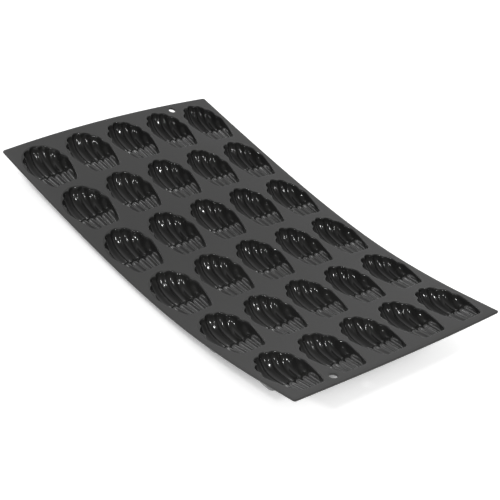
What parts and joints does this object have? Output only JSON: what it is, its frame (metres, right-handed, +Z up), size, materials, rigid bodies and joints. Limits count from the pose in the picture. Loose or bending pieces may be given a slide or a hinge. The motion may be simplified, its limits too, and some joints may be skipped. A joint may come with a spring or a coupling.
{
  "type": "silicone baking mould",
  "caption": "Flexible silicone sheet mould with a grid of fluted shell-shaped cups for baking mini cakes, lightly curled, with small hanging holes.",
  "frame": {"origin": "under the middle of the mould's bounds, on the surface that it stands on", "axes": "+X along the mould to its nearer, more lifted end, where the cups' narrow ends point; +Y to the picture's right long side; +Z up, out of the cups"},
  "size_m": [0.2986, 0.176, 0.0297],
  "materials": {
    "sheet": "satin dark grey silicone",
    "cup": "smooth, glossier dark grey silicone"
  },
  "bodies": {
    "row_1": {"web_row_1": "sheet", "cup_1_1": "cup", "cup_1_2": "cup", "cup_1_3": "cup", "cup_1_4": "cup", "cup_1_5": "cup"},
    "row_2": {"web_row_2": "sheet", "cup_2_1": "cup", "cup_2_2": "cup", "cup_2_3": "cup", "cup_2_4": "cup", "cup_2_5": "cup"},
    "row_3": {"web_row_3": "sheet", "cup_3_1": "cup", "cup_3_2": "cup", "cup_3_3": "cup", "cup_3_4": "cup", "cup_3_5": "cup"},
    "row_4": {"web_row_4": "sheet", "cup_4_1": "cup", "cup_4_2": "cup", "cup_4_3": "cup", "cup_4_4": "cup", "cup_4_5": "cup"},
    "row_5": {"web_row_5": "sheet", "cup_5_1": "cup", "cup_5_2": "cup", "cup_5_3": "cup", "cup_5_4": "cup", "cup_5_5": "cup"},
    "row_6": {"web_row_6": "sheet", "cup_6_1": "cup", "cup_6_2": "cup", "cup_6_3": "cup", "cup_6_4": "cup", "cup_6_5": "cup"}
  },
  "joints": [
    {"name": "bend_3_4", "type": "hinge", "parent": "row_3", "child": "row_4", "pos_m": [0.00063, 0, 0.01095], "axis": [0, -1, 0], "range_deg": [-47.9, 47.1], "stiffness_Nm_per_rad": 0.12, "springref_deg": 11.46},
    {"name": "bend_4_5", "type": "hinge", "parent": "row_4", "child": "row_5", "pos_m": [0.04955, 0, 0.01258], "axis": [0, -1, 0], "range_deg": [-50.3, 44.7], "stiffness_Nm_per_rad": 0.12, "springref_deg": 6.7},
    {"name": "bend_5_6", "type": "hinge", "parent": "row_5", "child": "row_6", "pos_m": [0.0981, 0, 0.01871], "axis": [0, -1, 0], "range_deg": [-49.2, 45.8], "stiffness_Nm_per_rad": 0.12, "springref_deg": 1.66},
    {"name": "bend_2_3", "type": "hinge", "parent": "row_3", "child": "row_2", "pos_m": [-0.0483, 0, 0.0118], "axis": [0, 1, 0], "range_deg": [-45.9, 49.1], "stiffness_Nm_per_rad": 0.12, "springref_deg": 6.7},
    {"name": "bend_1_2", "type": "hinge", "parent": "row_2", "child": "row_1", "pos_m": [-0.09721, 0, 0.01342], "axis": [0, 1, 0], "range_deg": [-45.3, 49.7], "stiffness_Nm_per_rad": 0.12, "springref_deg": 1.66}
  ]
}
